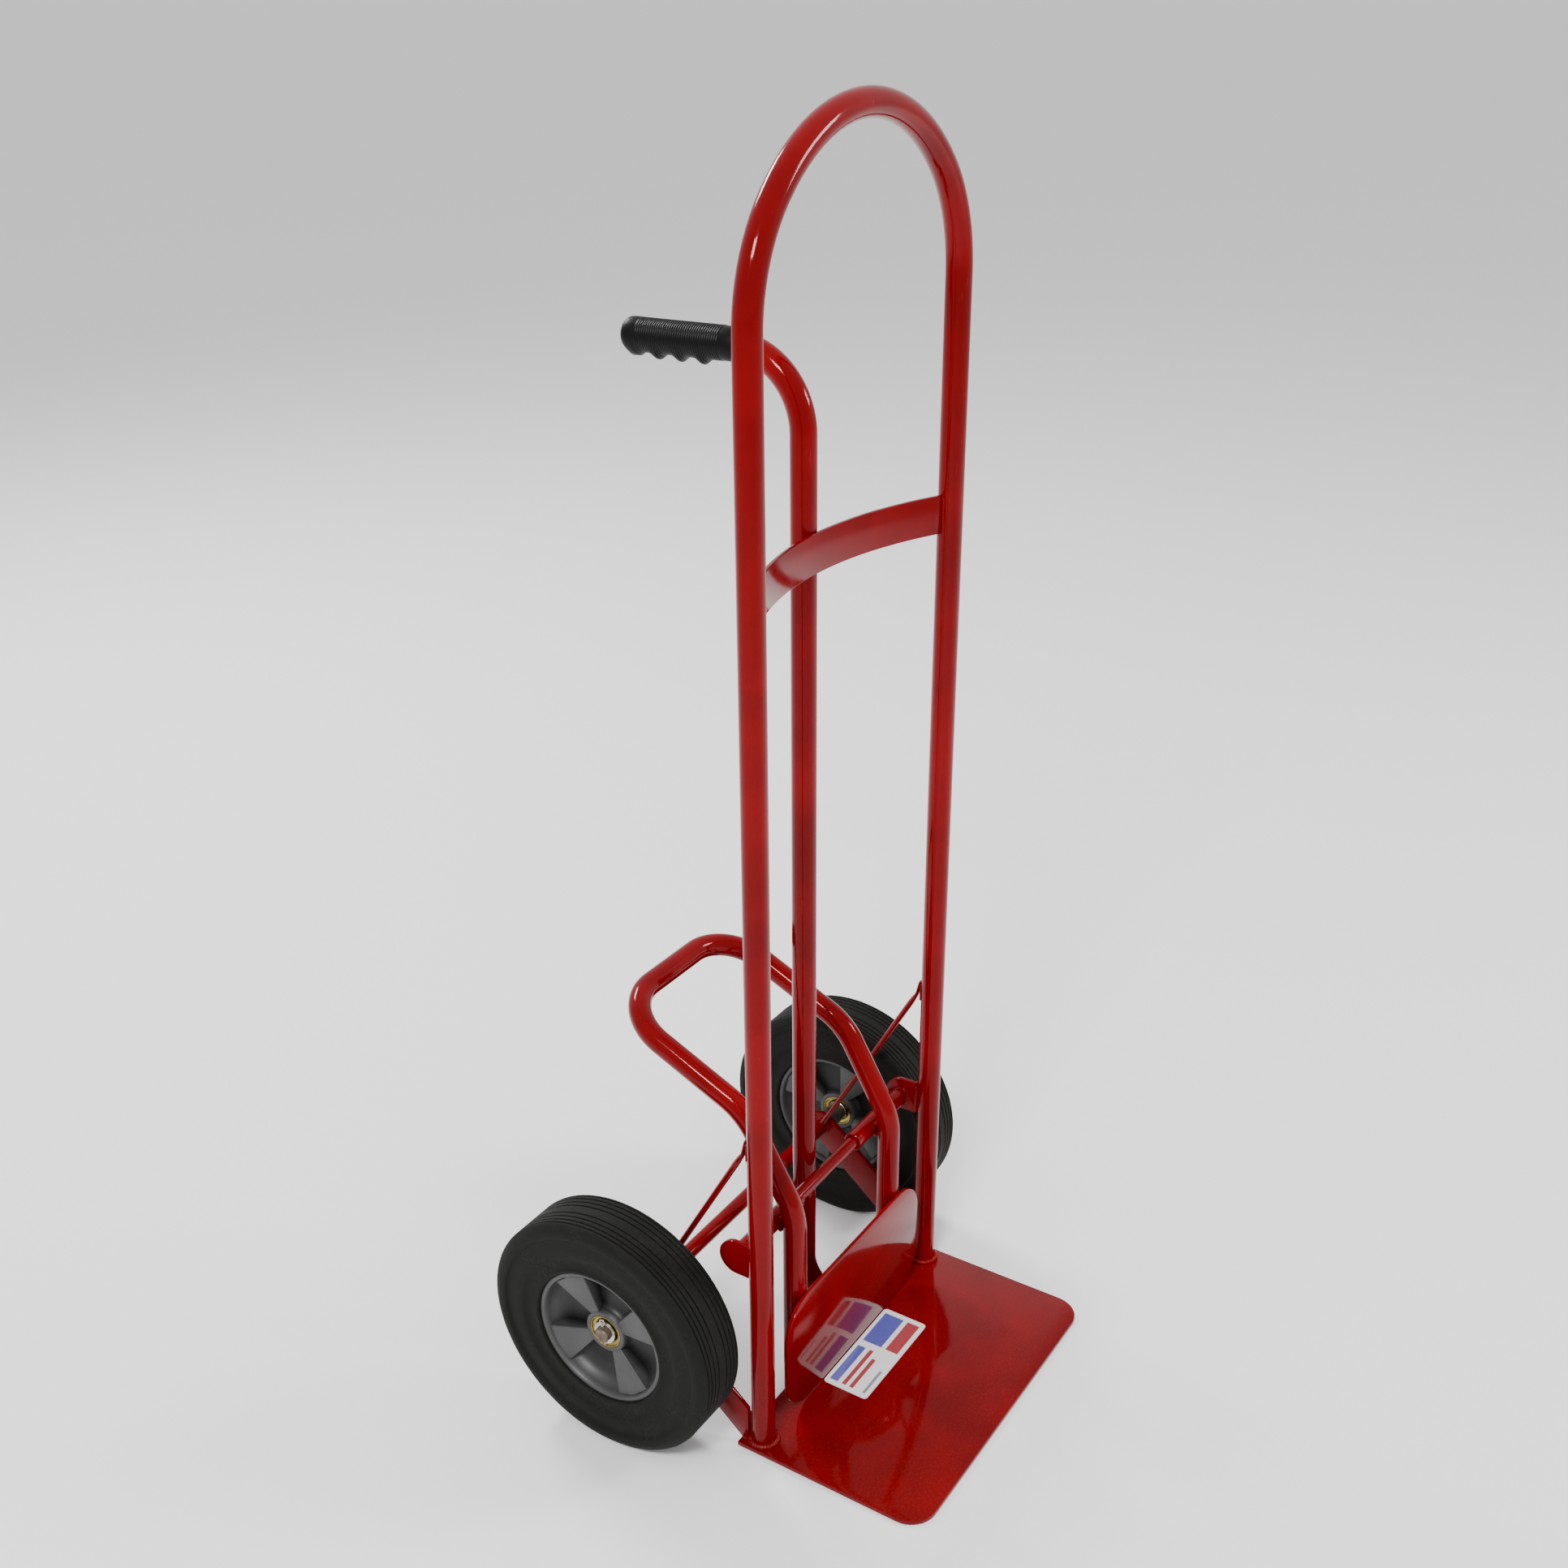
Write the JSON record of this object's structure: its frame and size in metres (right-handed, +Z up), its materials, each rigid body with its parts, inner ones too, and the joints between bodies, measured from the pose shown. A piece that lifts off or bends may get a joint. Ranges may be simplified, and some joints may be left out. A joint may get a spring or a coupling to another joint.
{
  "type": "hand truck",
  "caption": "Upright two-wheel hand truck with arched tube frame, toe plate, pistol grip on a centre post and a foot-worked ejector lever.",
  "frame": {"origin": "on the floor under the toe plate, midway between the two rails and on their centre plane", "axes": "+Z up, -Y towards the load on the toe plate, +Y towards the user and the wheels, X along the axle"},
  "size_m": [0.4974, 0.4469, 1.2147],
  "materials": {
    "red_paint": "gloss",
    "label_film": "satin",
    "grip_vinyl": "satin",
    "tyre_rubber": "matte",
    "cast_hub": "satin",
    "yellow_zinc": "polished",
    "bright_steel": "satin",
    "axle_steel": "dull"
  },
  "bodies": {
    "frame": {"frame_loop": "red_paint", "center_post": "red_paint", "handle_grip": "grip_vinyl", "cross_strap": "red_paint", "toe_plate": "red_paint", "label": "label_film", "axle": "axle_steel", "pivot_rod": "red_paint", "axle_bracket_left": "red_paint", "pivot_lug_left": "red_paint", "brace_rod_left": "red_paint", "axle_spacer_left": "bright_steel", "axle_washer_left": "bright_steel", "cotter_pin_left": "bright_steel", "axle_bracket_right": "red_paint", "pivot_lug_right": "red_paint", "brace_rod_right": "red_paint", "axle_spacer_right": "bright_steel", "axle_washer_right": "bright_steel", "cotter_pin_right": "bright_steel", "inner_ring_left_outer": "bright_steel", "inner_ring_left_inner": "bright_steel", "inner_ring_right_outer": "bright_steel", "inner_ring_right_inner": "bright_steel"},
    "ejector": {"ejector_lever": "red_paint", "kick_plate": "red_paint", "pivot_sleeve_left": "red_paint", "pivot_sleeve_right": "red_paint"},
    "wheel_left": {"tyre_left": "tyre_rubber", "hub_left": "cast_hub", "bearing_cup_left_outer": "yellow_zinc", "ball_ring_left_outer": "bright_steel", "bearing_cup_left_inner": "yellow_zinc", "ball_ring_left_inner": "bright_steel"},
    "wheel_right": {"tyre_right": "tyre_rubber", "hub_right": "cast_hub", "bearing_cup_right_outer": "yellow_zinc", "ball_ring_right_outer": "bright_steel", "bearing_cup_right_inner": "yellow_zinc", "ball_ring_right_inner": "bright_steel"}
  },
  "joints": [
    {"name": "ejector_lever_swing", "type": "hinge", "parent": "frame", "child": "ejector", "pos_m": [0, 0.02945, 0.215], "axis": [-1, 0, 0], "range_deg": [0, 93]},
    {"name": "wheel_left_spin", "type": "hinge", "parent": "frame", "child": "wheel_left", "pos_m": [0, 0.1353, 0.127], "axis": [1, 0, 0], "continuous": true},
    {"name": "wheel_right_spin", "type": "hinge", "parent": "frame", "child": "wheel_right", "pos_m": [0, 0.1353, 0.127], "axis": [1, 0, 0], "continuous": true}
  ]
}
